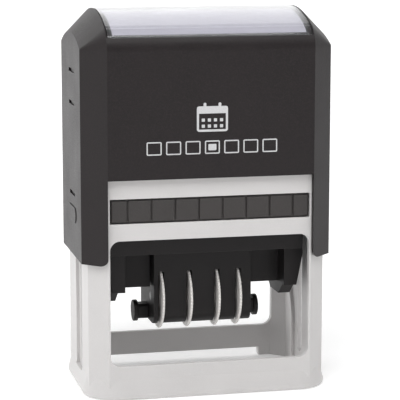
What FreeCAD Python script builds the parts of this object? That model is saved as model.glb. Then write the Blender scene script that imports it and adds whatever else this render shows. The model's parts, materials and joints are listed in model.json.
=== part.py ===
import FreeCAD, Part
import math
import os

# Self-inking rotary date stamp: a sliding housing over a moulded base frame, a text die
# that turns over between an ink pad and the paper, and four date bands set by thin wheels.
# Units are millimetres. X is the width, Y the depth (the front faces -Y), Z is up.
# The origin is the centre of the footprint, on the surface that the stamp stands on.
# Rest position: housing fully up, die facing the pad, date wheels facing down.

Vector = FreeCAD.Vector

# ---- driving dimensions: overall ----
overall_height = 122.8
overall_width = 81.2
overall_depth = 52.0
press_stroke = 37.5
die_length = 60.0
die_width = 40.0
pivot_height = 46.5
die_face_above_pivot = 9.0
inking_gap = 3.0

# ---- modelling allowances ----
seam_overlap = 0.2
cut_margin = 1.0
cut_reach = 10.0
full_round_shortfall = 0.05
parallel_cosine = 0.99

# ---- housing ----
end_bevel = 7.35
roof_arch_radius = 50.0
roof_corner_radius = 8.0
housing_wall = 1.6
housing_bevel_wall = 1.2
roof_extra_thickness = 1.8
front_panel_bottom = 70.7
leg_bottom = 43.5
leg_corner_radius = 2.5
leg_corner_run = 2.5
window_half_length = 32.8
window_half_depth = 24.6
window_low_edge = 114.0
window_recess_depth = 1.5
window_thickness = 1.0
window_gap = 0.2
label_thickness = 0.23
label_lift = 0.02
label_margin = 1.0
pivot_boss_radius = 2.7
pivot_boss_inset = 37.9
pivot_bearing_depth = 40.0
spring_locator_radius = 4.0
spring_locator_bottom = 114.5
side_slit_heights = (103.3, 92.9, 63.7)
side_slit_length = 10.0
side_slit_height = 1.2
side_slit_depth = 0.6

# ---- lock buttons ----
lock_length = 14.5
lock_height = 4.9
lock_centre_y = -2.0
lock_centre_z = 57.1
lock_proud = 0.3
lock_thickness = 1.0
lock_clearance = 0.2
lock_peg_half = 1.5
lock_peg_length = 1.0

# ---- base frame ----
frame_half_width = 38.6
frame_half_depth = 24.1
frame_bevel_sum = 57.1
frame_top = 71.5
frame_deck = 2.2
frame_side_wall = 2.2
frame_front_wall = 1.8
frame_bevel_wall = 2.0
foot_half_width = 40.0
foot_half_depth = 25.3
foot_corner_radius = 11.0
foot_flare_start = 6.5
foot_rim_height = 1.8
foot_edge_round = 1.2
view_half_width = 32.4
view_bottom = 10.8
view_top = 51.3
view_corner_radius = 3.2
pad_slot_bottom = 56.7
pad_slot_top = 64.6
side_groove_half = 5.6
side_groove_depth = 1.0
side_groove_overrun = 0.9
pivot_slot_half = 2.1
pivot_slot_clearance = 2.7
pad_rail_inner = 31.8
pad_rail_bottom = 55.2
pad_rail_clearance = 0.1
pad_guide_bottom = 64.55
pad_guide_top = 66.0
back_relief_half = 28.0
back_relief_height = 2.9
cam_rib_inner = 35.3
cam_rib_width = 3.4
cam_rib_offset = 8.0
cam_rib_foot = 1.5
cam_rib_straight_top = 14.0
cam_rib_top = 28.0
cam_rib_radius = 22.0
deck_post_radius = 4.0
deck_post_height = 4.0

# ---- return springs ----
spring_centre_x = 25.0
spring_mean_radius = 5.4
spring_wire_radius = 0.5
spring_wire_sides = 8
spring_turns = 7.5
spring_end_gap = 0.1
spring_top = 118.7

# ---- swivel carrier ----
tray_half_length = 31.5
tray_bottom = 45.8
tray_top = 52.3
web_half_depth = 8.5
web_bottom = 33.0
web_half_length = 26.9
arm_inner = 26.2
arm_outer = 32.5
arm_half_depth = 16.5
arm_top = 49.0
arm_facet_top = 43.5
arm_facet_inner = 30.4
arm_facet_half = 7.5
tip_inner = 27.4
tip_outer = 31.4
tip_shoulder_half = 11.6
tip_half = 5.0
tip_bottom = 28.0
pivot_pin_radius = 1.8
pivot_bearing_radius = 1.85
pivot_pin_inner = 30.0
pivot_pin_outer = 39.8
backing_half_length = 30.5
backing_thickness = 0.9

# ---- rubber text die ----
die_sheet_thickness = 1.4
die_border_width = 1.0
die_border_inset = 1.0
die_bar_depth = 2.2
die_bar_rows = (-16.0, -12.2, 9.8, 13.6)
die_bar_half_lengths = (24.0, 18.0, 20.0, 25.0)
band_window_left = -14.8
band_window_right = 12.8
band_window_half = 5.9
band_passage_half = 7.7

# ---- dater cradle ----
cradle_half_length = 16.1
cradle_front = -12.7
cradle_back = 9.7
cradle_bottom = 20.9
cradle_top = 45.6
cradle_wall = 1.3
cradle_round = 4.0
cradle_clearance = 0.5

# ---- date wheels and bands ----
axle_y = -6.15
axle_z = 29.5
axle_radius = 1.5
wheel_bore_radius = 1.55
wheel_radius = 10.65
wheel_thickness = 0.7
wheel_slot_clearance = 0.5
drum_radius = 3.35
band_thickness = 1.0
band_inner_at_drum = 3.45
band_turn_y = 3.0
band_turn_z = 52.6
band_turn_radius = 1.2
platen_clearance = 0.1
platen_bottom = 47.0
platen_foot_inset = 0.9

# Each entry: name, disc centre, drum low and high end, band low and high end, all along X.
wheel_sets = (
    ("day_tens", -13.65, -13.65, -9.45, -13.1, -9.6),
    ("day_units", -4.45, -9.3, -4.45, -9.15, -5.3),
    ("month", 4.75, -3.95, 4.75, -3.8, 3.9),
    ("year", 11.85, 5.25, 11.85, 5.4, 11.0),
)

# ---- retaining studs, detent comb ----
stud_block_half_depth = 2.6
stud_block_half_height = 2.4
stud_block_round = 0.8
stud_head_radius = 3.5
stud_head_inner = 19.5
stud_head_outer = 20.9
stud_y = -0.6
stud_z = 23.6
comb_front = 4.65
comb_thickness = 0.3
comb_bottom = 27.5
comb_top = 44.0
comb_slot_half = 0.8
comb_slot_top = 38.0

# ---- ink pad ----
pad_half_length = 32.1
pad_bottom = 56.9
pad_top = 64.4
pad_back = 21.6
pad_wall = 1.2
pad_front_wall = 1.8
pad_roof = 1.5
felt_clearance = 0.2
pad_rib_count = 8
pad_rib_pitch = 7.66
pad_rib_half = 0.4
pad_rib_height = 0.7
pad_rim = 0.8

# ---- values that follow from the driving dimensions ----
half_width = overall_width / 2
half_depth = overall_depth / 2
front_half_width = half_width - end_bevel
side_wall_inner = half_width - housing_wall
die_face = pivot_height + die_face_above_pivot
felt_face = die_face + inking_gap
backing_top = tray_top + backing_thickness
pivot_slot_top = pivot_height + pivot_slot_clearance
pivot_slot_bottom = pivot_height - press_stroke - pivot_slot_clearance
side_groove_bottom = pivot_slot_bottom - side_groove_overrun


# ---- shared helpers ----
def box(x0, x1, y0, y1, z0, z1):
    """Box between two opposite corners."""
    return Part.makeBox(x1 - x0, y1 - y0, z1 - z0, Vector(x0, y0, z0))


def cylinder_x(radius, x0, x1, y, z):
    """Cylinder along X from x0 to x1."""
    return Part.makeCylinder(radius, x1 - x0, Vector(x0, y, z), Vector(1, 0, 0))


def cylinder_z(radius, z0, z1, x, y):
    """Cylinder along Z from z0 to z1."""
    return Part.makeCylinder(radius, z1 - z0, Vector(x, y, z0), Vector(0, 0, 1))


def rounded_box(corners, radius, axis):
    """Box whose four edges along one axis are rounded."""
    solid = box(*corners)
    chosen = []
    for edge in solid.Edges:
        direction = edge.Vertexes[1].Point - edge.Vertexes[0].Point
        if abs(direction.normalize().dot(axis)) > parallel_cosine:
            chosen.append(edge)
    return solid.makeFillet(radius, chosen)


def mirrored_x(shape):
    """Copy of a shape on the other side of the YZ plane."""
    return shape.mirror(Vector(0, 0, 0), Vector(1, 0, 0))


def tetrahedron(corners):
    """Solid between four points."""
    faces = []
    for skipped in range(4):
        rim = [corner for index, corner in enumerate(corners) if index != skipped]
        faces.append(Part.Face(Part.makePolygon(rim + rim[:1])))
    solid = Part.Solid(Part.Shell(faces))
    if solid.Volume < 0:
        solid.reverse()
    return solid


def extruded_profile(points, x0, x1):
    """Prism along X over a polygon given by its (y, z) points."""
    corners = [Vector(x0, y, z) for y, z in points]
    face = Part.Face(Part.makePolygon(corners + corners[:1]))
    return face.extrude(Vector(x1 - x0, 0, 0))


def tombstone_wire(x, inset, top, bottom):
    """Arched cross-section in a YZ plane, shrunk evenly by an inset."""
    side = half_depth - inset
    arch_z = top - roof_arch_radius
    corner_y = half_depth - roof_corner_radius
    reach = roof_arch_radius - roof_corner_radius
    corner_z = arch_z + math.sqrt(reach ** 2 - corner_y ** 2)
    corner_radius = roof_corner_radius - inset
    arch_radius = roof_arch_radius - inset
    lean = math.atan2(corner_z - arch_z, corner_y)
    middle = lean / 2
    join_y = arch_radius * math.cos(lean)
    join_z = arch_z + arch_radius * math.sin(lean)
    bulge_y = corner_y + corner_radius * math.cos(middle)
    bulge_z = corner_z + corner_radius * math.sin(middle)
    front_low = Vector(x, -side, bottom)
    front_high = Vector(x, -side, corner_z)
    front_join = Vector(x, -join_y, join_z)
    back_join = Vector(x, join_y, join_z)
    back_high = Vector(x, side, corner_z)
    back_low = Vector(x, side, bottom)
    front_corner = Part.Arc(front_high, Vector(x, -bulge_y, bulge_z), front_join)
    roof = Part.Arc(front_join, Vector(x, 0, top - inset), back_join)
    back_corner = Part.Arc(back_join, Vector(x, bulge_y, bulge_z), back_high)
    edges = [
        Part.makeLine(front_low, front_high),
        front_corner.toShape(),
        roof.toShape(),
        back_corner.toShape(),
        Part.makeLine(back_high, back_low),
        Part.makeLine(back_low, front_low),
    ]
    return Part.Wire(edges)


def tombstone_prism(x_half, inset, top, bottom):
    """Straight prism of the arched cross-section."""
    face = Part.Face(tombstone_wire(-x_half, inset, top, bottom))
    return face.extrude(Vector(2 * x_half, 0, 0))


def bevelled_tombstone(end_x, end_inset, flat_x, flat_inset, top, bottom):
    """Arched body whose two ends are bevelled all round."""
    stations = ((-end_x, end_inset), (-flat_x, flat_inset), (flat_x, flat_inset), (end_x, end_inset))
    wires = [tombstone_wire(x, inset, top, bottom) for x, inset in stations]
    return Part.makeLoft(wires, True, True)


def octagon_prism(x_half, y_half, bevel_sum, z0, z1):
    """Upright prism over a rectangle with four 45 degree corners."""
    x_cut = bevel_sum - y_half
    y_cut = bevel_sum - x_half
    plan = [
        (x_half, -y_cut), (x_half, y_cut), (x_cut, y_half), (-x_cut, y_half),
        (-x_half, y_cut), (-x_half, -y_cut), (-x_cut, -y_half), (x_cut, -y_half),
    ]
    corners = [Vector(x, y, z0) for x, y in plan]
    face = Part.Face(Part.makePolygon(corners + corners[:1]))
    return face.extrude(Vector(0, 0, z1 - z0))


def rounded_outline(x_half, y_half, radius, z):
    """Closed wire of a rectangle with four round corners, level at height z."""
    diagonal = radius * math.sqrt(0.5)
    edges = []
    signs = ((1, -1), (1, 1), (-1, 1), (-1, -1))
    for index, (sx, sy) in enumerate(signs):
        next_sx, next_sy = signs[(index + 1) % 4]
        centre = Vector(sx * (x_half - radius), sy * (y_half - radius), z)
        next_centre = Vector(next_sx * (x_half - radius), next_sy * (y_half - radius), z)
        along_x = Vector(sx * radius, 0, 0)
        along_y = Vector(0, sy * radius, 0)
        first, last = (along_y, along_x) if sx == -sy else (along_x, along_y)
        bulge = Vector(sx * diagonal, sy * diagonal, 0)
        edges.append(Part.Arc(centre + first, centre + bulge, centre + last).toShape())
        edges.append(Part.makeLine(centre + last, next_centre + last))
    return Part.Wire(edges)


def belt_outline(circles, x):
    """Outline, in a YZ plane, of a belt round circles listed anticlockwise as (y, z, radius)."""
    tangents = []
    for index, (y0, z0, r0) in enumerate(circles):
        y1, z1, r1 = circles[(index + 1) % len(circles)]
        length = math.hypot(y1 - y0, z1 - z0)
        heading = math.atan2(z1 - z0, y1 - y0)
        side = heading - math.acos((r0 - r1) / length)
        leave = Vector(x, y0 + r0 * math.cos(side), z0 + r0 * math.sin(side))
        arrive = Vector(x, y1 + r1 * math.cos(side), z1 + r1 * math.sin(side))
        tangents.append((leave, arrive, side))
    edges = []
    for index, (leave, arrive, side) in enumerate(tangents):
        next_index = (index + 1) % len(circles)
        next_leave, _, next_side = tangents[next_index]
        y1, z1, r1 = circles[next_index]
        turn = (next_side - side) % (2 * math.pi)
        middle = side + turn / 2
        bulge = Vector(x, y1 + r1 * math.cos(middle), z1 + r1 * math.sin(middle))
        edges.append(Part.makeLine(leave, arrive))
        edges.append(Part.Arc(arrive, bulge, next_leave).toShape())
    return Part.Wire(edges)


def export(shape, node):
    """Write one sub-part."""
    shape.exportStep("parts/" + node + ".step")


# ---- housing ----
def window_cutter(outset, inset, x_half, y_half):
    """Curved slab that follows the roof, from above it to an inset below it."""
    low = window_low_edge - cut_reach
    slab = tombstone_prism(x_half, -outset, overall_height, low)
    slab = slab.cut(tombstone_prism(x_half + cut_margin, inset, overall_height, low - cut_margin))
    return slab.common(box(-x_half, x_half, -y_half, y_half, window_low_edge, overall_height + cut_reach))


def lock_pill(clearance, x0, x1):
    """Round-ended outline of a lock button, extruded along X."""
    half_length = lock_length / 2 + clearance
    half_height = lock_height / 2 + clearance
    corners = (
        x0, x1,
        lock_centre_y - half_length, lock_centre_y + half_length,
        lock_centre_z - half_height, lock_centre_z + half_height,
    )
    return rounded_box(corners, half_height - full_round_shortfall, Vector(1, 0, 0))


def leg_opening():
    """Space cut out of the front and back walls, between the four bevelled legs."""
    low = leg_bottom - 2 * cut_reach
    reach = half_depth + cut_reach
    opening = box(-front_half_width, front_half_width, -reach, reach, low, front_panel_bottom)
    centre_x = front_half_width + leg_corner_run
    centre_z = leg_bottom + leg_corner_radius
    corner = box(front_half_width - cut_margin, centre_x, -reach, reach, low, centre_z)
    start = -reach - cut_margin
    rounding = Part.makeCylinder(
        leg_corner_radius, -2 * start, Vector(centre_x, start, centre_z), Vector(0, 1, 0)
    )
    corner = corner.cut(rounding)
    return opening.fuse([corner, mirrored_x(corner)])


def housing_side_details():
    """Pivot boss to add, and the cuts for bearing, lock button and slits, on the +X side."""
    boss = cylinder_x(pivot_boss_radius, pivot_boss_inset, side_wall_inner + seam_overlap, 0, pivot_height)
    bearing = cylinder_x(
        pivot_bearing_radius, pivot_boss_inset - cut_margin, pivot_bearing_depth, 0, pivot_height
    )
    lock_hole = lock_pill(lock_clearance, side_wall_inner - cut_margin, half_width + cut_margin)
    cuts = [bearing, lock_hole]
    for height in side_slit_heights:
        cuts.append(box(
            half_width - side_slit_depth, half_width + cut_margin,
            lock_centre_y - side_slit_length / 2, lock_centre_y + side_slit_length / 2,
            height - side_slit_height / 2, height + side_slit_height / 2,
        ))
    return boss, cuts


def make_housing_shell():
    """Arched cover with bevelled ends that slides down over the base frame."""
    outer = bevelled_tombstone(half_width, end_bevel, front_half_width, 0, overall_height, leg_bottom)
    bevel_shift = housing_bevel_wall * math.sqrt(2)
    inner_flat_x = front_half_width - bevel_shift + housing_wall
    inner_end_inset = side_wall_inner - front_half_width + bevel_shift
    inner_top = overall_height - roof_extra_thickness
    cavity = bevelled_tombstone(
        side_wall_inner, inner_end_inset, inner_flat_x, housing_wall, inner_top, leg_bottom - cut_reach
    )
    shell = outer.cut(cavity).cut(leg_opening())
    recess = window_cutter(
        cut_margin, window_recess_depth, window_half_length + window_gap, window_half_depth + window_gap
    )
    shell = shell.cut(recess)
    boss, cuts = housing_side_details()
    roof_under = inner_top - housing_wall + seam_overlap
    additions = [boss, mirrored_x(boss)]
    for side in (-1, 1):
        additions.append(
            cylinder_z(spring_locator_radius, spring_locator_bottom, roof_under, side * spring_centre_x, 0)
        )
    shell = shell.fuse(additions)
    return shell.cut(cuts + [mirrored_x(cut) for cut in cuts]).removeSplitter()


def make_index_window():
    """Clear arched cover over the label."""
    return window_cutter(0, window_thickness, window_half_length, window_half_depth)


def make_index_label():
    """Paper label lying in the recess under the clear cover."""
    low = window_recess_depth - label_lift
    y_half = window_half_depth - label_margin
    x_half = window_half_length - label_margin
    bottom = window_low_edge - cut_reach
    slab = tombstone_prism(x_half, low - label_thickness, overall_height, bottom)
    slab = slab.cut(tombstone_prism(x_half + cut_margin, low, overall_height, bottom - cut_margin))
    return slab.common(box(-x_half, x_half, -y_half, y_half, window_low_edge, overall_height))


def make_lock_button():
    """Oval push button with a peg that runs in the frame's side groove."""
    outer_face = half_width + lock_proud
    head = lock_pill(0, outer_face - lock_thickness, outer_face)
    peg_outer = outer_face - lock_thickness
    peg = box(
        peg_outer - lock_peg_length, peg_outer,
        -lock_peg_half, lock_peg_half,
        lock_centre_z - lock_peg_half, lock_centre_z + lock_peg_half,
    )
    return head.fuse(peg).removeSplitter()


# ---- base frame ----
def foot_ring():
    """Flared foot with round corners at the bottom of the frame."""
    rim_face = Part.Face(rounded_outline(foot_half_width, foot_half_depth, foot_corner_radius, 0))
    rim = rim_face.extrude(Vector(0, 0, foot_rim_height))
    low_edges = [edge for edge in rim.Edges if edge.BoundBox.ZMax < foot_rim_height / 2]
    rim = rim.makeFillet(foot_edge_round, low_edges)
    upper_radius = foot_corner_radius - (foot_half_width - frame_half_width)
    wires = [
        rounded_outline(foot_half_width, foot_half_depth, foot_corner_radius, foot_rim_height),
        rounded_outline(frame_half_width, frame_half_depth, upper_radius, foot_flare_start),
    ]
    return rim.fuse(Part.makeLoft(wires, True, True))


def cam_rib():
    """Raised guide rib on the inner face of the +X side wall, curving towards the back."""
    outer_x = frame_half_width - frame_side_wall + seam_overlap
    half = cam_rib_width / 2
    straight = box(
        cam_rib_inner, outer_x,
        cam_rib_offset - half, cam_rib_offset + half,
        cam_rib_foot, cam_rib_straight_top,
    )
    centre_y = cam_rib_offset + cam_rib_radius
    ring = cylinder_x(cam_rib_radius + half, cam_rib_inner, outer_x, centre_y, cam_rib_straight_top)
    ring = ring.cut(cylinder_x(cam_rib_radius - half, cam_rib_inner, outer_x, centre_y, cam_rib_straight_top))
    bend = ring.common(box(0, frame_half_width, 0, centre_y, cam_rib_straight_top, cam_rib_top))
    return straight.fuse(bend)


def frame_side_cuts():
    """Outer groove and pivot slot in the +X side wall."""
    floor = frame_half_width - side_groove_depth
    groove = box(
        floor, frame_half_width + cut_reach, -side_groove_half, side_groove_half,
        side_groove_bottom, frame_top + cut_reach,
    )
    slot = rounded_box(
        (frame_half_width - frame_side_wall - cut_margin, frame_half_width + cut_margin,
         -pivot_slot_half, pivot_slot_half, pivot_slot_bottom, pivot_slot_top),
        pivot_slot_half - full_round_shortfall, Vector(1, 0, 0),
    )
    return [groove, slot]


def pad_guides():
    """Lower rail and upper guide that hold the ink pad, on the +X side."""
    wall = frame_half_width - frame_side_wall
    inner_depth = frame_half_depth - frame_front_wall
    outer_x = wall + seam_overlap
    bevel_sum = frame_inner_bevel_sum() + seam_overlap
    bounds = octagon_prism(outer_x, inner_depth + seam_overlap, bevel_sum, 0, frame_top)
    rail_top = pad_bottom - pad_rail_clearance
    rail = box(pad_rail_inner, outer_x, -inner_depth, inner_depth, pad_rail_bottom, rail_top)
    guide = box(pad_rail_inner, outer_x, -inner_depth, inner_depth, pad_guide_bottom, pad_guide_top)
    return [rail.common(bounds), guide.common(bounds)]


def frame_inner_bevel_sum():
    """Value of |x| + |y| on the inside of the frame's 45 degree corners."""
    return frame_bevel_sum - frame_bevel_wall * math.sqrt(2)


def make_base_frame():
    """Moulded frame: corner posts, crossbars, deck, pad rails and flared foot, open below."""
    inner_x = frame_half_width - frame_side_wall
    inner_y = frame_half_depth - frame_front_wall
    body = octagon_prism(frame_half_width, frame_half_depth, frame_bevel_sum, foot_rim_height, frame_top)
    inside = octagon_prism(inner_x, inner_y, frame_inner_bevel_sum(), -cut_margin, frame_top - frame_deck)
    body = body.fuse(foot_ring()).cut(inside)
    reach = frame_half_depth + cut_reach
    view = rounded_box(
        (-view_half_width, view_half_width, -reach, reach, view_bottom, view_top),
        view_corner_radius, Vector(0, 1, 0),
    )
    pad_slot = box(
        -view_half_width, view_half_width, -reach, cut_margin - inner_y, pad_slot_bottom, pad_slot_top
    )
    relief = box(
        -back_relief_half, back_relief_half, inner_y - cut_margin, reach, -cut_margin, back_relief_height
    )
    cuts = frame_side_cuts()
    cuts += [mirrored_x(cut) for cut in cuts]
    additions = pad_guides() + [cam_rib()]
    additions += [mirrored_x(addition) for addition in additions]
    for side in (-1, 1):
        additions.append(cylinder_z(
            deck_post_radius, frame_top - seam_overlap, frame_top + deck_post_height, side * spring_centre_x, 0
        ))
    body = body.cut([view, pad_slot, relief])
    body = body.fuse(additions)
    return body.cut(cuts).removeSplitter()


def make_return_spring(side):
    """Coil spring between the frame's deck and the housing's roof."""
    low = frame_top + spring_end_gap + spring_wire_radius
    high = spring_top - spring_wire_radius
    helix = Part.makeHelix((high - low) / spring_turns, high - low, spring_mean_radius)
    corners = []
    for index in range(spring_wire_sides + 1):
        angle = 2 * math.pi * (index + 0.5) / spring_wire_sides
        corners.append(Vector(
            spring_mean_radius + spring_wire_radius * math.cos(angle), 0, spring_wire_radius * math.sin(angle)
        ))
    section = Part.makePolygon(corners)
    coil = Part.Wire(helix).makePipeShell([section], True, True)
    coil.translate(Vector(side * spring_centre_x, 0, low))
    return coil


# ---- swivel carrier and die ----
def carrier_arm():
    """End arm on the +X side: a deep block with its outer corners cut back, and a narrower tip."""
    block_outline = [
        (-arm_half_depth, web_bottom), (arm_half_depth, web_bottom),
        (arm_half_depth, arm_top), (-arm_half_depth, arm_top),
    ]
    block = extruded_profile(block_outline, arm_inner, arm_outer)
    for side in (-1, 1):
        facet = [
            Vector(arm_outer, side * arm_half_depth, arm_facet_top),
            Vector(arm_facet_inner, side * arm_half_depth, web_bottom),
            Vector(arm_outer, side * arm_facet_half, web_bottom),
        ]
        corner = Vector(arm_outer, side * arm_half_depth, web_bottom)
        block = block.cut(tetrahedron(facet + [corner]))
    tip_outline = [
        (-tip_shoulder_half, web_bottom), (-tip_half, tip_bottom), (tip_half, tip_bottom),
        (tip_shoulder_half, web_bottom),
        (tip_shoulder_half, web_bottom + seam_overlap), (-tip_shoulder_half, web_bottom + seam_overlap),
    ]
    tip = extruded_profile(tip_outline, tip_inner, tip_outer)
    hole = cylinder_x(pivot_pin_radius, pivot_pin_inner, arm_outer + cut_margin, 0, pivot_height)
    return block.fuse(tip), hole


def make_swivel_carrier():
    """Tray behind the die, with side webs, end arms and a well for the dater."""
    half_die = die_width / 2
    tray = box(-tray_half_length, tray_half_length, -half_die, half_die, tray_bottom, tray_top)
    web = box(
        -web_half_length, web_half_length, -web_half_depth, web_half_depth,
        web_bottom, tray_bottom + seam_overlap,
    )
    arm, hole = carrier_arm()
    body = tray.fuse([web, arm, mirrored_x(arm)])
    well_half = cradle_half_length + cradle_clearance
    well = box(
        -well_half, well_half, cradle_front - cradle_clearance, cradle_back + cradle_clearance,
        web_bottom - cut_margin, tray_bottom,
    )
    passage = box(
        band_window_left, band_window_right, -band_passage_half, band_passage_half,
        tray_bottom - cut_margin, tray_top + cut_margin,
    )
    return body.cut([well, passage, hole, mirrored_x(hole)]).removeSplitter()


def make_pivot_pin():
    """Pin on the +X side, from the carrier's arm through the frame's slot to the housing."""
    return cylinder_x(pivot_pin_radius, pivot_pin_inner, pivot_pin_outer, 0, pivot_height)


def band_window(z0, z1):
    """Opening through the backing plate and the die for the date bands."""
    return box(band_window_left, band_window_right, -band_window_half, band_window_half, z0, z1)


def make_backing_plate():
    """Flat plate that the rubber die is bonded to."""
    half_die = die_width / 2
    plate = box(-backing_half_length, backing_half_length, -half_die, half_die, tray_top, backing_top)
    return plate.cut(band_window(tray_top - cut_margin, backing_top + cut_margin))


def make_text_die():
    """Rubber sheet with a raised border and plain raised bars where lines of text go."""
    half_length = die_length / 2
    half_die = die_width / 2
    sheet_top = backing_top + die_sheet_thickness
    sheet = box(-half_length, half_length, -half_die, half_die, backing_top, sheet_top)
    raised_bottom = sheet_top - seam_overlap
    outer_x = half_length - die_border_inset
    outer_y = half_die - die_border_inset
    border = box(-outer_x, outer_x, -outer_y, outer_y, raised_bottom, die_face)
    border = border.cut(box(
        -outer_x + die_border_width, outer_x - die_border_width,
        -outer_y + die_border_width, outer_y - die_border_width,
        raised_bottom - cut_margin, die_face + cut_margin,
    ))
    raised = [border]
    for low_y, half_bar in zip(die_bar_rows, die_bar_half_lengths):
        raised.append(box(-half_bar, half_bar, low_y, low_y + die_bar_depth, raised_bottom, die_face))
    window = band_window(backing_top - cut_margin, die_face + cut_margin)
    return sheet.fuse(raised).cut(window).removeSplitter()


# ---- dater ----
def make_dater_cradle():
    """Open-topped holder round the date wheels, slotted where the wheels stand out."""
    outer = rounded_box(
        (-cradle_half_length, cradle_half_length, cradle_front, cradle_back,
         cradle_bottom, cradle_top + cradle_round),
        cradle_round, Vector(1, 0, 0),
    )
    inner = rounded_box(
        (-cradle_half_length + cradle_wall, cradle_half_length - cradle_wall,
         cradle_front + cradle_wall, cradle_back - cradle_wall,
         cradle_bottom + cradle_wall, cradle_top + 2 * cradle_round),
        cradle_round - cradle_wall, Vector(1, 0, 0),
    )
    top_cut = box(-half_width, half_width, -half_depth, half_depth, cradle_top, overall_height)
    cradle = outer.cut([inner, top_cut])
    half_slot = wheel_thickness / 2 + wheel_slot_clearance
    cuts = [cylinder_x(axle_radius, -half_width, half_width, axle_y, axle_z)]
    for entry in wheel_sets:
        centre = entry[1]
        cuts.append(cylinder_x(
            wheel_radius + wheel_slot_clearance, centre - half_slot, centre + half_slot, axle_y, axle_z
        ))
    side_wall = box(
        cradle_half_length - cradle_wall, cradle_half_length,
        cradle_front, cradle_back, cradle_bottom, cradle_top,
    )
    side_wall = side_wall.common(outer).cut(cuts[0])
    return cradle.cut(cuts).fuse([side_wall, mirrored_x(side_wall)]).removeSplitter()


def make_wheel_axle():
    """Steel axle through the four date wheels and the cradle's end walls."""
    return cylinder_x(axle_radius, -cradle_half_length, cradle_half_length, axle_y, axle_z)


def make_date_wheel(centre, drum_low, drum_high):
    """Thin setting disc with the narrow drum that drives one band."""
    disc = cylinder_x(wheel_radius, centre - wheel_thickness / 2, centre + wheel_thickness / 2, axle_y, axle_z)
    drum = cylinder_x(drum_radius, drum_low, drum_high, axle_y, axle_z)
    bore = cylinder_x(wheel_bore_radius, -half_width, half_width, axle_y, axle_z)
    return disc.fuse(drum).cut(bore).removeSplitter()


def make_date_band(low_x, high_x):
    """Rubber band round the wheel's drum and over the platen."""
    solids = []
    for extra in (band_thickness, 0):
        circles = (
            (axle_y, axle_z, band_inner_at_drum + extra),
            (band_turn_y, band_turn_z, band_turn_radius + extra),
            (-band_turn_y, band_turn_z, band_turn_radius + extra),
        )
        face = Part.Face(belt_outline(circles, low_x))
        solids.append(face.extrude(Vector(high_x - low_x, 0, 0)))
    return solids[0].cut(solids[1])


def make_band_platen():
    """Bar that holds the bands flat at the die's face."""
    radius = band_turn_radius - platen_clearance
    diagonal = radius * math.sqrt(0.5)
    lower_half = band_turn_y - platen_foot_inset
    outline = [
        (-lower_half, platen_bottom), (lower_half, platen_bottom),
        (band_turn_y + diagonal, band_turn_z - diagonal),
        (band_turn_y, band_turn_z + radius), (-band_turn_y, band_turn_z + radius),
        (-band_turn_y - diagonal, band_turn_z - diagonal),
    ]
    bar = extruded_profile(outline, band_window_left, band_window_right)
    noses = []
    for side in (-1, 1):
        noses.append(cylinder_x(radius, band_window_left, band_window_right, side * band_turn_y, band_turn_z))
    return bar.fuse(noses).removeSplitter()


def make_retaining_stud():
    """Headed stud on the +X end of the cradle, which locks it in the carrier."""
    block = rounded_box(
        (cradle_half_length, stud_head_inner + seam_overlap,
         stud_y - stud_block_half_depth, stud_y + stud_block_half_depth,
         stud_z - stud_block_half_height, stud_z + stud_block_half_height),
        stud_block_round, Vector(1, 0, 0),
    )
    head = cylinder_x(stud_head_radius, stud_head_inner, stud_head_outer, stud_y, stud_z)
    return block.fuse(head).removeSplitter()


def make_detent_comb():
    """Spring-steel comb that indexes the wheels, one finger for each."""
    half_length = cradle_half_length - cradle_wall
    comb = box(-half_length, half_length, comb_front, comb_front + comb_thickness, comb_bottom, comb_top)
    gaps = []
    for left, right in zip(wheel_sets[:-1], wheel_sets[1:]):
        middle = (left[1] + right[1]) / 2
        gaps.append(box(
            middle - comb_slot_half, middle + comb_slot_half,
            comb_front - cut_margin, comb_front + cut_margin,
            comb_bottom - cut_margin, comb_slot_top,
        ))
    return comb.cut(gaps)


# ---- ink pad ----
def make_ink_pad_tray():
    """Upside-down tray with a ribbed front, which slides out to the front."""
    front = -frame_half_depth
    tray = box(-pad_half_length, pad_half_length, front, pad_back, pad_bottom, pad_top)
    hollow = box(
        -pad_half_length + pad_wall, pad_half_length - pad_wall,
        front + pad_front_wall, pad_back - pad_wall,
        pad_bottom - cut_margin, pad_top - pad_roof,
    )
    panel = box(
        -pad_half_length + pad_rim, pad_half_length - pad_rim,
        front - cut_margin, front + pad_rib_height,
        pad_bottom + pad_rim, pad_top - pad_rim,
    )
    ribs = []
    for index in range(pad_rib_count):
        centre = (index - (pad_rib_count - 1) / 2) * pad_rib_pitch
        ribs.append(box(
            centre - pad_rib_half, centre + pad_rib_half,
            front, front + pad_rib_height + seam_overlap,
            pad_bottom, pad_top,
        ))
    return tray.cut([hollow, panel]).fuse(ribs).removeSplitter()


def make_ink_felt():
    """Ink-soaked pad in the tray, facing down."""
    side = pad_half_length - pad_wall - felt_clearance
    front = -frame_half_depth + pad_front_wall + felt_clearance
    back = pad_back - pad_wall - felt_clearance
    return box(-side, side, front, back, felt_face, pad_top - pad_roof)


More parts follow.
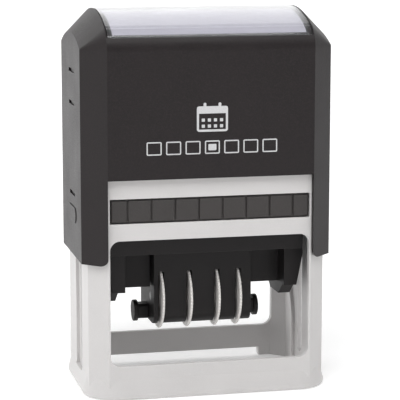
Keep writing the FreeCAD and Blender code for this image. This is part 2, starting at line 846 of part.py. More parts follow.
def main():
    """Build and write every sub-part."""
    os.makedirs("parts", exist_ok=True)
    export(make_base_frame(), "base_frame")
    export(make_return_spring(-1), "return_spring_left")
    export(make_return_spring(1), "return_spring_right")
    export(make_housing_shell(), "housing_shell")
    export(make_index_label(), "index_label")
    export(make_index_window(), "index_window")
    lock = make_lock_button()
    export(mirrored_x(lock), "lock_button_left")
    export(lock, "lock_button_right")
    export(make_ink_pad_tray(), "ink_pad_tray")
    export(make_ink_felt(), "ink_felt")
    export(make_swivel_carrier(), "swivel_carrier")
    pin = make_pivot_pin()
    export(mirrored_x(pin), "pivot_pin_left")
    export(pin, "pivot_pin_right")
    export(make_backing_plate(), "backing_plate")
    export(make_text_die(), "text_die")
    export(make_dater_cradle(), "dater_cradle")
    export(make_wheel_axle(), "wheel_axle")
    export(make_band_platen(), "band_platen")
    export(make_detent_comb(), "detent_comb")
    stud = make_retaining_stud()
    export(mirrored_x(stud), "retaining_stud_left")
    export(stud, "retaining_stud_right")
    for name, centre, drum_low, drum_high, band_low, band_high in wheel_sets:
        export(make_date_wheel(centre, drum_low, drum_high), "date_wheel_" + name)
        export(make_date_band(band_low, band_high), "date_band_" + name)


main()
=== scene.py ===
import json
import math

import bmesh
import bpy
from mathutils import Matrix, Vector


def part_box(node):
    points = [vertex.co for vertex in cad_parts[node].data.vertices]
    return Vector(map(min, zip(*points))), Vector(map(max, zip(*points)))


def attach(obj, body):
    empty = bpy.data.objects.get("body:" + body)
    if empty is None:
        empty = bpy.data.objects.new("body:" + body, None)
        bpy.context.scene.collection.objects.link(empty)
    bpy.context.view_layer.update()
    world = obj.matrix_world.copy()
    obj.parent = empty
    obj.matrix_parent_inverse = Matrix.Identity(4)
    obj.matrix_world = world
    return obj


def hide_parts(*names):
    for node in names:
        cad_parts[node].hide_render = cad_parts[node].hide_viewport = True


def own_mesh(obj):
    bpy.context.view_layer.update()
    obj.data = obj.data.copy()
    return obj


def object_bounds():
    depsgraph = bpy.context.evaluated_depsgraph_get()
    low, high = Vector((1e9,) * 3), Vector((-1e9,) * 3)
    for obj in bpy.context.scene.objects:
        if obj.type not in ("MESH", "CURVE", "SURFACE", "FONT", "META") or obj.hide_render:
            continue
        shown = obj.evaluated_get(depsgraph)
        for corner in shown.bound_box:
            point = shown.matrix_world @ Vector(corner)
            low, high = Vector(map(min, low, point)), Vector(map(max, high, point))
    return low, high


# Looks of the self-inking date stamp: materials and rounded edges for the CAD parts, and finer
# pieces for the springs, the ink pad, the date wheels, the date bands and the printed mark.
# Every length is in metres, in the CAD frame: X is the width, the front faces -Y, Z is up.

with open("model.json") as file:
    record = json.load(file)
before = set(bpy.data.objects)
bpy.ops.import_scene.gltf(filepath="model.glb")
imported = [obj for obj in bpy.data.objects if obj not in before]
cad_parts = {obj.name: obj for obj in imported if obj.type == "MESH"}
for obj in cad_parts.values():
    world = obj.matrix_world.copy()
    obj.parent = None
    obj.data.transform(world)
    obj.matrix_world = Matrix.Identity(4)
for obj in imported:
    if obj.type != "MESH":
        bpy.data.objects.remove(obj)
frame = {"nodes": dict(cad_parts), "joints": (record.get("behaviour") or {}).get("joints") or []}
cad_low, cad_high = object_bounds()

MM = 0.001
TURN = 2 * math.pi


# ---- mesh helpers ----
def new_piece(name, build, body, material):
    """Make a mesh object from a bmesh that is already filled, and fasten it to a CAD body."""
    bmesh.ops.recalc_face_normals(build, faces=build.faces)
    mesh = bpy.data.meshes.new(name)
    build.to_mesh(mesh)
    build.free()
    piece = bpy.data.objects.new(name, mesh)
    bpy.context.scene.collection.objects.link(piece)
    mesh.materials.append(material)
    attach(piece, body)
    return piece


def add_ring_strip(build, first, second):
    """Join two closed rings of vertices with a strip of quads."""
    count = len(first)
    for index in range(count):
        after = (index + 1) % count
        build.faces.new((first[index], first[after], second[after], second[index]))


def add_loft(build, rings, closed=True):
    """Skin a list of rings, and either join the last ring to the first or cap both ends."""
    made = []
    for ring in rings:
        made.append([build.verts.new(point) for point in ring])
    for first, second in zip(made[:-1], made[1:]):
        add_ring_strip(build, first, second)
    if closed:
        add_ring_strip(build, made[-1], made[0])
    else:
        build.faces.new(list(reversed(made[0])))
        build.faces.new(made[-1])


def add_plate(build, outline, low, high, place):
    """Upright-sided plate over a closed outline; place turns (u, v, w) into a point."""
    add_loft(build, [[place(u, v, w) for u, v in outline] for w in (low, high)], closed=False)


def rounded_rectangle(left, right, bottom, top, radius, steps=4):
    """Outline of a rectangle with round corners, anticlockwise from the lower right."""
    outline = []
    corners = (
        (right - radius, bottom + radius, -90), (right - radius, top - radius, 0),
        (left + radius, top - radius, 90), (left + radius, bottom + radius, 180),
    )
    for centre_u, centre_v, start in corners:
        for step in range(steps + 1):
            angle = math.radians(start + 90 * step / steps)
            outline.append((centre_u + radius * math.cos(angle), centre_v + radius * math.sin(angle)))
    return outline


def shade(piece, angle=35):
    """Smooth shading that keeps edges sharper than an angle."""
    piece.data.shade_smooth()
    piece.data.set_sharp_from_angle(angle=math.radians(angle))


def bevel(piece, width, segments=2, angle=30):
    """Round a piece's sharp edges with modifiers."""
    rounding = piece.modifiers.new("rounding", "BEVEL")
    rounding.width = width
    rounding.segments = segments
    rounding.limit_method = "ANGLE"
    rounding.angle_limit = math.radians(angle)
    rounding.miter_outer = "MITER_ARC"
    rounding.use_clamp_overlap = True
    normals = piece.modifiers.new("normals", "WEIGHTED_NORMAL")
    normals.keep_sharp = True


def round_cad_edges(node, width, segments=2):
    """Merge the seams between a CAD node's faces and round its sharp edges."""
    piece = frame["nodes"][node]
    seams = piece.modifiers.new("seams", "WELD")
    seams.merge_threshold = 0.002 * MM
    facets = piece.modifiers.new("facets", "DECIMATE")
    facets.decimate_type = "DISSOLVE"
    facets.angle_limit = math.radians(0.3)
    bevel(piece, width, segments)


# ---- material helpers ----
class Finish:
    """One procedural material: a Principled shader and short names for the nodes that feed it."""

    def __init__(self, name):
        self.material = bpy.data.materials.new(name)
        self.material.use_nodes = True
        self.tree = self.material.node_tree
        self.shader = self.tree.nodes["Principled BSDF"]
        self.place = self.node("ShaderNodeTexCoord").outputs["Object"]

    def node(self, kind, **settings):
        """Add a node of one kind to the material."""
        made = self.tree.nodes.new(kind)
        for key, value in settings.items():
            setattr(made, key, value)
        return made

    def feed(self, socket, value):
        """Link a socket into another, or give it a fixed value."""
        if isinstance(value, bpy.types.NodeSocket):
            self.tree.links.new(value, socket)
        else:
            socket.default_value = value

    def set(self, **values):
        """Set or link the shader's own sockets; an underscore stands for a space."""
        for key, value in values.items():
            self.feed(self.shader.inputs[key.replace("_", " ")], value)

    def stretched(self, x, y, z):
        """The piece's own coordinates, scaled along each axis."""
        scaling = self.node("ShaderNodeMapping")
        self.feed(scaling.inputs["Vector"], self.place)
        scaling.inputs["Scale"].default_value = (x, y, z)
        return scaling.outputs["Vector"]

    def noise(self, size, detail=2.0, roughness=0.5, place=None):
        """Cloudy noise whose blobs are about one size across."""
        texture = self.node("ShaderNodeTexNoise")
        self.feed(texture.inputs["Vector"], place or self.place)
        texture.inputs["Scale"].default_value = 1 / size
        texture.inputs["Detail"].default_value = detail
        texture.inputs["Roughness"].default_value = roughness
        return texture.outputs["Fac"]

    def cells(self, size):
        """Distance to the nearest of scattered points, as for grains and pits."""
        texture = self.node("ShaderNodeTexVoronoi")
        self.feed(texture.inputs["Vector"], self.place)
        texture.inputs["Scale"].default_value = 1 / size
        return texture.outputs["Distance"]

    def along(self, axis):
        """Distance from the origin along one axis."""
        parts = self.node("ShaderNodeSeparateXYZ")
        self.feed(parts.inputs[0], self.place)
        return self.maths("ABSOLUTE", parts.outputs[axis], 0.0)

    def reach(self):
        """Distance from the piece's own origin."""
        made = self.node("ShaderNodeVectorMath", operation="LENGTH")
        self.feed(made.inputs[0], self.place)
        return made.outputs["Value"]

    def remap(self, value, low, high, to_low, to_high):
        """Map one range onto another, held at both ends."""
        ramp = self.node("ShaderNodeMapRange")
        self.feed(ramp.inputs["Value"], value)
        for key, number in (("From Min", low), ("From Max", high), ("To Min", to_low), ("To Max", to_high)):
            ramp.inputs[key].default_value = number
        return ramp.outputs["Result"]

    def spread(self, noise, to_low, to_high):
        """Map the range that most of a noise falls in onto another range."""
        return self.remap(noise, 0.3, 0.7, to_low, to_high)

    def maths(self, operation, first, second):
        """One arithmetic step on two values or sockets."""
        made = self.node("ShaderNodeMath", operation=operation)
        self.feed(made.inputs[0], first)
        self.feed(made.inputs[1], second)
        return made.outputs["Value"]

    def blend(self, share, first, second):
        """Colour that goes from first to second as share goes from 0 to 1."""
        mix = self.node("ShaderNodeMix", data_type="RGBA")
        self.feed(mix.inputs["Factor"], share)
        for socket, colour in ((mix.inputs[6], first), (mix.inputs[7], second)):
            self.feed(socket, colour if isinstance(colour, bpy.types.NodeSocket) else (*colour, 1))
        return mix.outputs[2]

    def edges(self, radius, noise_size=1.5 * MM):
        """Worn edges: 1 on sharp edges, broken up by noise, and 0 on flat stretches."""
        rounded = self.node("ShaderNodeBevel", samples=4)
        rounded.inputs["Radius"].default_value = radius
        surface = self.node("ShaderNodeNewGeometry")
        likeness = self.node("ShaderNodeVectorMath", operation="DOT_PRODUCT")
        self.feed(likeness.inputs[0], rounded.outputs["Normal"])
        self.feed(likeness.inputs[1], surface.outputs["Normal"])
        edge = self.remap(likeness.outputs["Value"], 1.0, 0.8, 0.0, 1.0)
        return self.maths("MULTIPLY", edge, self.remap(self.noise(noise_size, 3), 0.35, 0.6, 0.35, 1.0))

    def bump(self, height, depth, below=None):
        """Surface relief of a depth in metres, laid over another relief if one is given."""
        made = self.node("ShaderNodeBump")
        made.inputs["Distance"].default_value = depth
        self.feed(made.inputs["Height"], height)
        if below is not None:
            self.feed(made.inputs["Normal"], below)
        return made.outputs["Normal"]


def scaled(colour, factor):
    """A colour made lighter or darker."""
    return tuple(factor * channel for channel in colour)


def moulded_plastic(name, colour, roughness, grain, depth, wear, mottle=0.06, spark=0.1, gloss=0.5):
    """Injection-moulded plastic: spark-eroded grain, slow mottling and polished or scuffed edges."""
    finish = Finish(name)
    slow = finish.noise(14 * MM, 3)
    fine = finish.noise(grain, 3, 0.6)
    pits = finish.cells(1.4 * grain)
    tone = finish.blend(
        finish.spread(slow, 0, 1), scaled(colour, 1 - mottle), scaled(colour, 1 + mottle)
    )
    tone = finish.blend(
        finish.remap(fine, 0.45, 0.7, 0, 1), tone, scaled(colour, 1 + spark)
    )
    edge = finish.edges(0.35 * MM)
    tone = finish.blend(finish.maths("MULTIPLY", edge, wear), tone, scaled(colour, 1.9))
    rough = finish.spread(fine, roughness - 0.06, roughness + 0.08)
    rough = finish.maths("ADD", rough, finish.spread(slow, -0.03, 0.03))
    rough = finish.maths("SUBTRACT", rough, finish.maths("MULTIPLY", edge, 0.1))
    finish.set(
        Base_Color=tone,
        Roughness=rough,
        Normal=finish.bump(fine, depth, finish.bump(pits, 0.5 * depth)),
    )
    finish.shader.inputs["Specular IOR Level"].default_value = gloss
    return finish.material


def drawn_steel(name, colour, stretch):
    """Steel with fine drawing or turning lines, which stretch says the direction of."""
    finish = Finish(name)
    lines = finish.noise(0.12 * MM, 3, 0.7, finish.stretched(*stretch))
    stain = finish.noise(3 * MM, 4)
    tone = finish.blend(finish.spread(lines, 0, 1), scaled(colour, 0.86), scaled(colour, 1.08))
    tone = finish.blend(finish.remap(stain, 0.5, 0.75, 0, 0.5), tone, scaled(colour, 0.7))
    finish.set(
        Base_Color=tone,
        Metallic=1.0,
        Roughness=finish.spread(lines, 0.22, 0.42),
        Normal=finish.bump(lines, 0.008 * MM),
    )
    return finish.material


def rubber(name, colour, grain):
    """Matt rubber with a fine grain, rubbed lighter along its edges."""
    finish = Finish(name)
    fine = finish.noise(grain, 3, 0.65)
    slow = finish.noise(5 * MM, 3)
    tone = finish.blend(finish.spread(slow, 0, 1), scaled(colour, 0.88), scaled(colour, 1.12))
    tone = finish.blend(finish.maths("MULTIPLY", finish.edges(0.2 * MM), 0.35), tone, scaled(colour, 1.7))
    finish.set(
        Base_Color=tone,
        Roughness=finish.spread(fine, 0.55, 0.8),
        Normal=finish.bump(fine, 0.02 * MM),
    )
    return finish.material


def ink_felt_finish():
    """Dense felt soaked in ink: tangled fibres, wet in patches."""
    finish = Finish("ink_felt")
    fibres = finish.noise(0.35 * MM, 6, 0.75, finish.stretched(1.0, 0.45, 1.0))
    across = finish.noise(0.35 * MM, 6, 0.75, finish.stretched(0.45, 1.0, 1.0))
    tangle = finish.maths("MAXIMUM", fibres, across)
    wet = finish.noise(6 * MM, 2)
    soaked = (0.006, 0.006, 0.01)
    dry = (0.03, 0.03, 0.04)
    finish.set(
        Base_Color=finish.blend(finish.remap(tangle, 0.4, 0.7, 0, 1), soaked, dry),
        Roughness=finish.remap(wet, 0.35, 0.65, 0.45, 0.95),
        Normal=finish.bump(tangle, 0.12 * MM),
    )
    finish.shader.inputs["Sheen Weight"].default_value = 0.3
    return finish.material


def label_finish():
    """Blank coated paper with faint fibres, and a dark band of painted shade round its edges, under the
    window's rim.
    """
    finish = Finish("label_paper")
    label_half = (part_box("index_label")[1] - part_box("index_label")[0]) / 2
    # Width of the painted shade band that darkens the label's edges next to the window's rim.
    shade_band_width = 0.8 * MM
    fade = 0.1 * MM
    end = finish.remap(finish.along("X"), label_half.x - shade_band_width, label_half.x - shade_band_width + fade, 0, 1)
    side = finish.remap(finish.along("Y"), label_half.y - shade_band_width, label_half.y - shade_band_width + fade, 0, 1)
    fibres = finish.noise(0.5 * MM, 5, 0.7, finish.stretched(1.0, 0.3, 1.0))
    cloud = finish.noise(20 * MM, 2)
    tone = finish.blend(finish.spread(cloud, 0, 1), (0.37, 0.36, 0.405), (0.41, 0.40, 0.44))
    tone = finish.blend(finish.remap(fibres, 0.55, 0.75, 0, 0.4), tone, (0.33, 0.32, 0.36))
    # Painted shade: the label turns dark in a band round its edges, next to the window's rim.
    tone = finish.blend(finish.maths("MAXIMUM", end, side), tone, (0.03, 0.031, 0.03))
    finish.set(
        Base_Color=tone,
        Roughness=finish.spread(fibres, 0.35, 0.55),
        Normal=finish.bump(fibres, 0.01 * MM),
    )
    return finish.material


def clear_finish():
    """Clear moulded plastic with faint smears that dull its gloss."""
    finish = Finish("window_clear")
    smear = finish.noise(8 * MM, 4, 0.6, finish.stretched(0.35, 1.0, 1.0))
    scratches = finish.noise(0.4 * MM, 2, 0.6, finish.stretched(0.12, 1.0, 1.0))
    finish.set(
        Base_Color=(0.97, 0.975, 1.0, 1),
        Roughness=finish.remap(smear, 0.35, 0.7, 0.02, 0.10),
        Normal=finish.bump(scratches, 0.002 * MM),
    )
    finish.shader.inputs["Transmission Weight"].default_value = 1.0
    finish.shader.inputs["IOR"].default_value = 1.49
    return finish.material


def print_finish():
    """Light grey pad-printed ink, thin enough for the plastic's grain to show."""
    finish = Finish("printed_mark")
    fine = finish.noise(0.3 * MM, 3, 0.6)
    finish.set(
        Base_Color=finish.blend(finish.remap(fine, 0.35, 0.75, 0, 1), (0.52, 0.52, 0.53), (0.66, 0.66, 0.67)),
        Roughness=finish.spread(fine, 0.45, 0.65),
        Normal=finish.bump(fine, 0.012 * MM),
    )
    return finish.material


def make_materials():
    """Every finish by the name of the record's material slot."""
    return {
        "frame_plastic": moulded_plastic(
            "frame_plastic", (0.60, 0.585, 0.58),
            roughness=0.40, grain=0.30 * MM, depth=0.008 * MM,
            wear=0.25, mottle=0.025, spark=0.03,
        ),
        "housing_plastic": moulded_plastic(
            "housing_plastic", (0.0085, 0.0058, 0.0063),
            roughness=0.44, grain=0.38 * MM, depth=0.03 * MM,
            wear=0.45, mottle=0.12, spark=1.0, gloss=0.34,
        ),
        "pad_plastic": moulded_plastic(
            "pad_plastic", (0.031, 0.027, 0.026),
            roughness=0.50, grain=0.30 * MM, depth=0.02 * MM,
            wear=0.5, mottle=0.10, spark=0.5,
        ),
        "mechanism_plastic": moulded_plastic(
            "mechanism_plastic", (0.0070, 0.0056, 0.0058),
            roughness=0.50, grain=0.28 * MM, depth=0.015 * MM,
            wear=0.4, mottle=0.12, spark=0.6, gloss=0.30,
        ),
        "backing_plastic": moulded_plastic(
            "backing_plastic", (0.17, 0.17, 0.165),
            roughness=0.45, grain=0.30 * MM, depth=0.01 * MM,
            wear=0.3,
        ),
        "wheel_plastic": moulded_plastic(
            "wheel_plastic", (0.74, 0.715, 0.69),
            roughness=0.38, grain=0.22 * MM, depth=0.006 * MM,
            wear=0.2, mottle=0.03, spark=0.05,
        ),
        "spring_steel": drawn_steel("spring_steel", (0.60, 0.60, 0.62), (1.0, 1.0, 6.0)),
        "pin_steel": drawn_steel("pin_steel", (0.58, 0.58, 0.60), (6.0, 0.6, 0.6)),
        "axle_steel": drawn_steel("axle_steel", (0.035, 0.034, 0.036), (6.0, 0.6, 0.6)),
        "die_rubber": rubber("die_rubber", (0.10, 0.028, 0.024), 0.25 * MM),
        "band_rubber": rubber("band_rubber", (0.028, 0.026, 0.028), 0.2 * MM),
        "ink_felt": ink_felt_finish(),
        "label_paper": label_finish(),
        "window_clear": clear_finish(),
        "printed_mark": print_finish(),
    }


materials = make_materials()

# ---- CAD nodes: material slot and edge radius of each ----
CAD_FINISHES = {
    "base_frame": ("frame_plastic", 0.35 * MM),
    "housing_shell": ("housing_plastic", 0.40 * MM),
    "index_label": ("label_paper", 0.02 * MM),
    "index_window": ("window_clear", 0.25 * MM),
    "lock_button_left": ("housing_plastic", 0.20 * MM),
    "lock_button_right": ("housing_plastic", 0.20 * MM),
    "ink_felt": ("ink_felt", 0.30 * MM),
    "swivel_carrier": ("mechanism_plastic", 0.35 * MM),
    "pivot_pin_left": ("pin_steel", 0.20 * MM),
    "pivot_pin_right": ("pin_steel", 0.20 * MM),
    "backing_plate": ("backing_plastic", 0.12 * MM),
    "text_die": ("die_rubber", 0.10 * MM),
    "dater_cradle": ("mechanism_plastic", 0.25 * MM),
    "band_platen": ("mechanism_plastic", 0.15 * MM),
    "detent_comb": ("spring_steel", 0.06 * MM),
    "retaining_stud_left": ("mechanism_plastic", 0.25 * MM),
    "retaining_stud_right": ("mechanism_plastic", 0.25 * MM),
}


def finish_cad_node(node, radius, material):
    """Give one CAD node its material and rounded edges."""
    piece = frame["nodes"][node]
    piece.data.materials.clear()
    piece.data.materials.append(material)
    for polygon in piece.data.polygons:
        polygon.material_index = 0
    round_cad_edges(node, radius)


def finish_cad_nodes():
    """Finish every CAD node that stays in view; the axle is the one that is blackened."""
    for node, (slot, radius) in CAD_FINISHES.items():
        finish_cad_node(node, radius, materials[slot])
    finish_cad_node("wheel_axle", 0.15 * MM, materials["axle_steel"])
    frame["nodes"]["index_window"].visible_shadow = False


# ---- return springs ----
def make_return_spring(side):
    """Round-wire compression spring with its end turns closed."""
    node = "return_spring_" + side
    low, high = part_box(node)
    centre = (low + high) / 2
    wire = 0.5 * MM
    mean_radius = (high.x - low.x) / 2 - wire
    turns = 7.5
    closed_turns = 0.9
    steps_per_turn = 28
    wire_sides = 10
    steps = int(turns * steps_per_turn)
    travel = high.z - low.z - 2 * wire
    closed_turn_pitch = 2.1
    closed_rise = closed_turn_pitch * wire
    rings = []
    for step in range(steps + 1):
        turned = turns * step / steps
        from_low = min(turned / closed_turns, 1)
        from_high = min((turns - turned) / closed_turns, 1)
        middle = min(max((turned - closed_turns) / (turns - 2 * closed_turns), 0), 1)
        rise = closed_rise * (from_low + 1 - from_high) + (travel - 2 * closed_rise) * middle
        angle = TURN * turned
        outward = Vector((math.cos(angle), math.sin(angle), 0))
        ring = []
        for side_step in range(wire_sides):
            around = TURN * side_step / wire_sides
            reach = mean_radius + wire * math.cos(around)
            height = low.z + wire + rise + wire * math.sin(around)
            ring.append(Vector((centre.x, centre.y, height)) + reach * outward)
        rings.append(ring)
    build = bmesh.new()
    add_loft(build, rings, closed=False)
    spring = new_piece("return_coil_" + side, build, "base", materials["spring_steel"])
    shade(spring, 60)
    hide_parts(node)
    press = next(joint for joint in frame["joints"] if joint["name"] == "press")
    stroke = max(abs(limit) for limit in press["range_m"])
    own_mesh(spring)


# ---- ink pad ----
def make_ink_pad():
    """Upside-down tray with raised finger cells on its front, parted by narrow grooves."""
    low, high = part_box("ink_pad_tray")
    wall = 1.2 * MM
    front_wall = 1.8 * MM
    roof = 1.5 * MM
    groove = 0.55 * MM
    groove_depth = 0.7 * MM
    rim = 0.45 * MM
    corner = 0.35 * MM
    seat = 0.2 * MM
    divider_pitch = 7.66 * MM
    divider_count = 8
    outer = rounded_rectangle(low.x, high.x, low.y + groove_depth, high.y, corner)
    inner = rounded_rectangle(low.x + wall, high.x - wall, low.y + front_wall, high.y - wall, corner)
    levels = ((outer, high.z), (outer, low.z), (inner, low.z), (inner, high.z - roof))
    build = bmesh.new()
    add_loft(build, [[(x, y, z) for x, y in outline] for outline, z in levels], closed=False)
    edges = [low.x]
    for index in range(divider_count):
        edges.append((low.x + high.x) / 2 + (index - (divider_count - 1) / 2) * divider_pitch)
    edges.append(high.x)

    def place(u, v, w):
        return Vector((u, w, v))

    for left, right in zip(edges[:-1], edges[1:]):
        cell = rounded_rectangle(
            left + groove / 2, right - groove / 2, low.z + rim, high.z - rim, corner
        )
        add_plate(build, cell, low.y + groove_depth + seat, low.y, place)
    pad = new_piece("ink_cartridge", build, "ink_pad", materials["pad_plastic"])
    shade(pad, 35)
    bevel(pad, 0.16 * MM)
    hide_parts("ink_pad_tray")


# ---- date wheels ----
WHEELS = {"day_tens": -1, "day_units": 1, "month": 1, "year": 1}
WHEEL_TEETH = 60


def make_date_wheel(name, disc_side):
    """Setting disc with a serrated rim, and the drum that drives its band, turned as one profile."""
    low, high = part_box("date_wheel_" + name)
    centre = (low + high) / 2
    rim = (high.z - low.z) / 2
    disc = 0.7 * MM
    bore = 1.55 * MM
    drum = 3.35 * MM
    hub = 4.6 * MM
    serration = 0.22 * MM
    corner = 0.22 * MM
    dish = 0.14 * MM
    rim_width = 1.5 * MM
    corner_share = 0.6
    disc_face = high.x if disc_side > 0 else low.x
    drum_end = low.x if disc_side > 0 else high.x
    inward = -disc_side
    back_face = disc_face + inward * disc
    profile = [
        (disc_face, bore + corner, 0), (disc_face, hub, 0), (disc_face + inward * dish, hub + dish, 0),
        (disc_face + inward * dish, rim - rim_width, 0), (disc_face, rim - rim_width + dish, 0),
        (disc_face, rim - corner, corner_share), (disc_face + inward * corner, rim, 1),
        (back_face - inward * corner, rim, 1), (back_face, rim - corner, corner_share),
        (back_face, rim - rim_width + dish, 0), (back_face - inward * dish, rim - rim_width, 0),
        (back_face - inward * dish, hub + dish, 0), (back_face, hub, 0), (back_face, drum, 0),
        (drum_end - inward * corner, drum, 0), (drum_end, drum - corner, 0),
        (drum_end, bore + corner, 0), (drum_end - inward * corner, bore, 0),
        (disc_face + inward * corner, bore, 0),
    ]
    notches = (0, 0, 1, 1)
    steps = len(notches) * WHEEL_TEETH
    rings = []
    for step in range(steps):
        angle = TURN * step / steps
        notch = notches[step % len(notches)]
        ring = []
        for x, radius, share in profile:
            reach = radius - serration * share * notch
            ring.append((x, centre.y + reach * math.cos(angle), centre.z + reach * math.sin(angle)))
        rings.append(ring)
    build = bmesh.new()
    add_loft(build, rings)
    wheel = new_piece(
        "setting_wheel_" + name, build, "wheel_" + name, materials["wheel_plastic"]
    )
    shade(wheel, 28)
    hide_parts("date_wheel_" + name)


# ---- date bands ----
def belt_points(circles, count):
    """Evenly spaced (y, z, outward y, outward z) round a belt over circles given as (y, z, radius)."""
    stretches = []
    for index, (y0, z0, r0) in enumerate(circles):
        y1, z1, r1 = circles[(index + 1) % len(circles)]
        length = math.hypot(y1 - y0, z1 - z0)
        side = math.atan2(z1 - z0, y1 - y0) - math.acos((r0 - r1) / length)
        stretches.append((y0, z0, r0, y1, z1, r1, side))
    pieces = []
    for index, (y0, z0, r0, y1, z1, r1, side) in enumerate(stretches):
        turn = (stretches[(index + 1) % len(stretches)][6] - side) % TURN
        straight = math.hypot(y1 - y0 + (r1 - r0) * math.cos(side), z1 - z0 + (r1 - r0) * math.sin(side))
        pieces.append((straight, "line", index))
        pieces.append((r1 * turn, "arc", index))
    total = sum(piece[0] for piece in pieces)
    points = []
    for step in range(count):
        distance = total * step / count
        for length, kind, index in pieces:
            if distance <= length:
                break
            distance -= length
        y0, z0, r0, y1, z1, r1, side = stretches[index]
        share = distance / length
        if kind == "line":
            y = y0 + (y1 - y0) * share
            z = z0 + (z1 - z0) * share
            radius = r0 + (r1 - r0) * share
            angle = side
        else:
            turn = (stretches[(index + 1) % len(stretches)][6] - side) % TURN
            y, z, radius = y1, z1, r1
            angle = side + turn * share
        points.append((
            y + radius * math.cos(angle), z + radius * math.sin(angle), math.cos(angle), math.sin(angle)
        ))
    return points


NUMERAL_HEIGHT = 3.3 * MM
NUMERAL_HALF_DEPTH = 0.3 * MM
FONT_SIZE_PER_HEIGHT = 1.35


def numeral(text):
    """Flat outline mesh of a number, mirrored as on a stamp, centred on the origin."""
    curve = bpy.data.curves.new("numeral", "FONT")
    curve.body = text
    curve.size = NUMERAL_HEIGHT * FONT_SIZE_PER_HEIGHT
    curve.align_x = "CENTER"
    curve.align_y = "CENTER"
    curve.resolution_u = 2
    curve.extrude = NUMERAL_HALF_DEPTH
    holder = bpy.data.objects.new("numeral", curve)
    bpy.context.scene.collection.objects.link(holder)
    bpy.context.view_layer.update()
    mesh = bpy.data.meshes.new_from_object(holder.evaluated_get(bpy.context.evaluated_depsgraph_get()))
    bpy.data.objects.remove(holder)
    bpy.data.curves.remove(curve)
    mesh.transform(Matrix.Diagonal((-1, 1, 1, 1)))
    return mesh


BAND_NUMBERS = {
    "day_tens": ("0", "1", "2", "3"),
    "day_units": tuple(str(digit) for digit in range(10)),
    "month": tuple(str(month) for month in range(1, 13)),
    "year": tuple(str(year) for year in range(24, 36)),
}


def make_date_band(name):
    """Moulded rubber band round the wheel's drum and over the platen, with raised numbers."""
    low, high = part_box("date_band_" + name)
    wheel_low, wheel_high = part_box("date_wheel_" + name)
    axle_y = (wheel_low.y + wheel_high.y) / 2
    axle_z = (wheel_low.z + wheel_high.z) / 2
    top_radius = 2.2 * MM
    turn_y = high.y - top_radius
    turn_z = high.z - top_radius
    drum_radius = axle_z - low.z
    circles = ((axle_y, axle_z, drum_radius), (turn_y, turn_z, top_radius), (-turn_y, turn_z, top_radius))
    thickness = 1.0 * MM
    corner = 0.15 * MM
    section = [
        (low.x, -thickness), (high.x, -thickness), (high.x, -corner),
        (high.x - corner, 0), (low.x + corner, 0), (low.x, -corner),
    ]
    count = 120
    points = belt_points(circles, count)
    rings = []
    for y, z, out_y, out_z in points:
        rings.append([(x, y + out_y * lift, z + out_z * lift) for x, lift in section])
    build = bmesh.new()
    add_loft(build, rings)
    numbers = BAND_NUMBERS[name]
    places = 12
    first_place = 4
    for index in range(places):
        y, z, out_y, out_z = points[(index * count // places + first_place) % count]
        outward = Vector((0, out_y, out_z))
        along = Vector((0, -out_z, out_y))
        across = along.cross(outward)
        glyph = numeral(numbers[index % len(numbers)])
        turn = Matrix((across, along, outward)).transposed().to_4x4()
        middle = Vector(((low.x + high.x) / 2, y, z)) + outward * NUMERAL_HALF_DEPTH
        glyph.transform(Matrix.Translation(middle) @ turn)
        build.from_mesh(glyph)
        bpy.data.meshes.remove(glyph)
    band = new_piece("number_band_" + name, build, "carrier", materials["band_rubber"])
    shade(band, 35)
    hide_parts("date_band_" + name)


# ---- printed mark on the front ----
def make_printed_mark():
    """Generic calendar page over a row of seven day cells, printed on the housing's front."""
    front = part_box("housing_shell")[0].y
    film = 0.05 * MM

    def place(u, v, w):
        return Vector((u, front - w, v))

    build = bmesh.new()

    def bar(left, right, bottom, top, radius, layer=1.0):
        add_plate(build, rounded_rectangle(left, right, bottom, top, radius), -film, layer * film, place)

    def outline_box(left, right, bottom, top, line):
        outer = rounded_rectangle(left, right, bottom, top, 1.2 * line)
        inner = rounded_rectangle(left + line, right - line, bottom + line, top - line, 0.2 * line)
        levels = ((outer, -film), (outer, film), (inner, film), (inner, -film))
        add_loft(build, [[place(u, v, w) for u, v in outline] for outline, w in levels])

    page_low = 85.4 * MM
    page_high = 93.4 * MM
    page_half = 5.0 * MM
    page_line = 0.7 * MM
    outline_box(-page_half, page_half, page_low, page_high, page_line)

    header_height = 2.3 * MM
    header_corner = 0.3 * MM
    header_layer = 1.3
    inset = 0.1 * MM
    bar(
        -page_half + inset, page_half - inset, page_high - header_height, page_high - inset,
        header_corner, header_layer,
    )

    ring_centre = 2.4 * MM
    ring_half = 0.45 * MM
    ring_below = 0.4 * MM
    ring_above = 1.1 * MM
    ring_corner = 0.4 * MM
    ring_layer = 1.45
    for side in (-1, 1):
        middle = side * ring_centre
        bar(
            middle - ring_half, middle + ring_half, page_high - ring_below, page_high + ring_above,
            ring_corner, ring_layer,
        )

    dot_pitch_u = 1.95 * MM
    dot_pitch_v = 1.9 * MM
    dot_start = 1.75 * MM
    dot_half = 0.5 * MM
    dot_corner = 0.1 * MM
    for row in range(2):
        for column in range(4):
            u = (column - 1.5) * dot_pitch_u
            v = page_low + dot_start + dot_pitch_v * row
            bar(u - dot_half, u + dot_half, v - dot_half, v + dot_half, dot_corner)

    cell_count = 7
    cell_pitch = 6.2 * MM
    cell_half = 2.4 * MM
    cell_low = 78.4 * MM
    cell_high = 82.6 * MM
    cell_line = 0.38 * MM
    for column in range(cell_count):
        centre = (column - cell_count // 2) * cell_pitch
        outline_box(centre - cell_half, centre + cell_half, cell_low, cell_high, cell_line)

    today_half = 1.3 * MM
    today_inset = 1.1 * MM
    today_corner = 0.3 * MM
    bar(-today_half, today_half, cell_low + today_inset, cell_high - today_inset, today_corner)
    mark = new_piece("printed_calendar", build, "housing", materials["printed_mark"])
    shade(mark, 35)


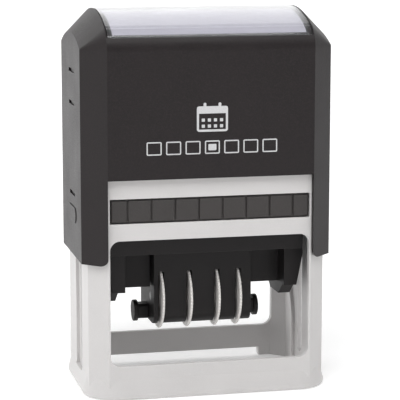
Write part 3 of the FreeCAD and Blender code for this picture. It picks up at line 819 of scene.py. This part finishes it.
# ---- studio ----
def make_floor():
    """Pale sweep that the stamp stands on."""
    finish = Finish("pale_floor")
    near = 0.05
    far = 0.9
    near_glow = 0.26
    far_glow = 0.6
    cloud = finish.noise(60 * MM, 3)
    finish.set(
        Base_Color=finish.blend(cloud, (0.88, 0.88, 0.88), (0.92, 0.92, 0.92)),
        Roughness=finish.spread(cloud, 0.55, 0.65),
        Emission_Color=(1, 1, 1, 1),
        Emission_Strength=finish.remap(finish.reach(), near, far, near_glow, far_glow),
    )
    half_width = 6.0
    front_edge = -6.0
    bend_start = 1.0
    bend_radius = 0.8
    bend_steps = 12
    wall_top = 2.5
    profile = [(front_edge, 0.0), (bend_start, 0.0)]
    for step in range(1, bend_steps + 1):
        angle = math.radians(90 * step / bend_steps)
        profile.append((bend_start + bend_radius * math.sin(angle), bend_radius * (1 - math.cos(angle))))
    profile.append((bend_start + bend_radius, wall_top))
    build = bmesh.new()
    rows = []
    for y, z in profile:
        rows.append([build.verts.new((x, y, z)) for x in (-half_width, half_width)])
    for first, second in zip(rows[:-1], rows[1:]):
        build.faces.new((first[0], first[1], second[1], second[0]))
    mesh = bpy.data.meshes.new("floor")
    build.to_mesh(mesh)
    build.free()
    mesh.materials.append(finish.material)
    floor = bpy.data.objects.new("floor", mesh)
    bpy.context.scene.collection.objects.link(floor)
    shade(floor)


def direction(azimuth, elevation):
    """Unit vector from the object towards a viewer at these angles, in degrees."""
    turn = math.radians(azimuth)
    rise = math.radians(elevation)
    return Vector((math.sin(turn) * math.cos(rise), -math.cos(turn) * math.cos(rise), math.sin(rise)))


# Name, azimuth and elevation in degrees, and power in watts of each soft light.
SOFTBOXES = (
    ("key_light", 0, 55, 4.0),
    ("left_light", -45, 55, 3.0),
    ("side_light", -75, 20, 1.0),
    ("right_light", 50, 35, 0.6),
    ("rim_light", -130, 25, 1.5),
)
SOFTBOX_DISTANCE = 1.0
SOFTBOX_SIZE = 0.6


def make_softbox(name, azimuth, elevation, power):
    """Square soft light that faces the object."""
    centre = (cad_low + cad_high) / 2
    towards = direction(azimuth, elevation)
    light = bpy.data.lights.new(name, "AREA")
    light.shape = "SQUARE"
    light.size = SOFTBOX_SIZE
    light.energy = power
    lamp = bpy.data.objects.new(name, light)
    lamp.location = centre + SOFTBOX_DISTANCE * towards
    lamp.rotation_euler = towards.to_track_quat("Z", "Y").to_euler()
    bpy.context.scene.collection.objects.link(lamp)


def make_world(strength):
    """Even white surroundings."""
    world = bpy.data.worlds.new("studio")
    world.use_nodes = True
    background = world.node_tree.nodes["Background"]
    background.inputs["Color"].default_value = (1.0, 1.0, 1.0, 1)
    background.inputs["Strength"].default_value = strength
    bpy.context.scene.world = world


def make_camera():
    """Long lens, looking down a little at the stamp from its front left."""
    azimuth = -12.92
    elevation = 9.52
    distance = 0.6
    aim = (cad_low + cad_high) / 2 + Vector((2.1 * MM, 0.5 * MM, -2.1 * MM))
    data = bpy.data.cameras.new("camera")
    data.sensor_width = 36.0
    data.lens = 164.1
    data.clip_start = 0.01
    camera = bpy.data.objects.new("camera", data)
    camera.location = aim + distance * direction(azimuth, elevation)
    camera.rotation_euler = (math.radians(90 - elevation), 0, math.radians(azimuth))
    bpy.context.scene.collection.objects.link(camera)
    bpy.context.scene.camera = camera


def make_studio():
    """Floor, surroundings, lights and camera, shown without a tone curve."""
    bpy.context.scene.view_settings.view_transform = "Standard"
    make_world(0.28)
    make_floor()
    for name, azimuth, elevation, power in SOFTBOXES:
        make_softbox(name, azimuth, elevation, power)
    make_camera()


make_studio()
finish_cad_nodes()
for spring_side in ("left", "right"):
    make_return_spring(spring_side)
make_ink_pad()
for wheel_name, wheel_side in WHEELS.items():
    make_date_wheel(wheel_name, wheel_side)
    make_date_band(wheel_name)
make_printed_mark()
